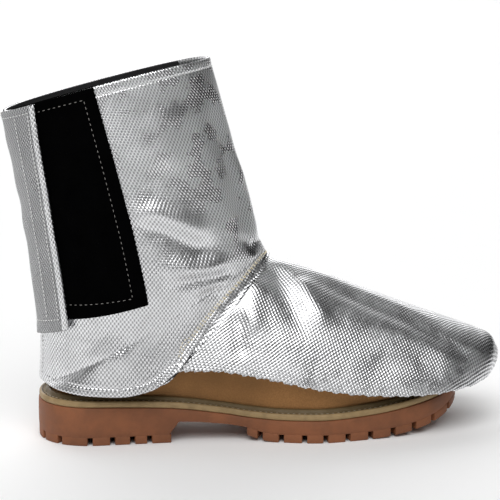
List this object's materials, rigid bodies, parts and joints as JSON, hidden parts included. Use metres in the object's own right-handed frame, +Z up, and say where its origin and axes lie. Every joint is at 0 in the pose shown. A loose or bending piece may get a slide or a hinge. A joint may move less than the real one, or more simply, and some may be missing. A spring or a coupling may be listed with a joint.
{
  "type": "work boot with aluminized spat",
  "caption": "Aluminized heat-protective spat closed with a hook-and-loop flap over a right-foot welted work boot with a lugged rubber sole.",
  "frame": {"origin": "middle of the bounding box, on the floor the sole stands on", "axes": "+X from heel to toe, +Y to the inner side of the right foot, +Z up"},
  "size_m": [0.3622, 0.1264, 0.27],
  "materials": {
    "outsole_rubber": "matt gum rubber",
    "welt_strip": "satin strip",
    "insole_board": "matt",
    "upper_leather": "nubuck",
    "aluminized_cloth": "bright metal film on woven cloth",
    "loop_tape": "matt loop pile",
    "hook_tape": "matt hooks"
  },
  "bodies": {
    "root": {"outsole": "outsole_rubber", "welt": "welt_strip", "insole": "insole_board", "boot_upper": "upper_leather", "leg_panel": "aluminized_cloth", "vamp_panel": "aluminized_cloth", "loop_panel": "loop_tape", "hook_strip": "hook_tape", "closure_flap": "aluminized_cloth"}
  },
  "joints": []
}
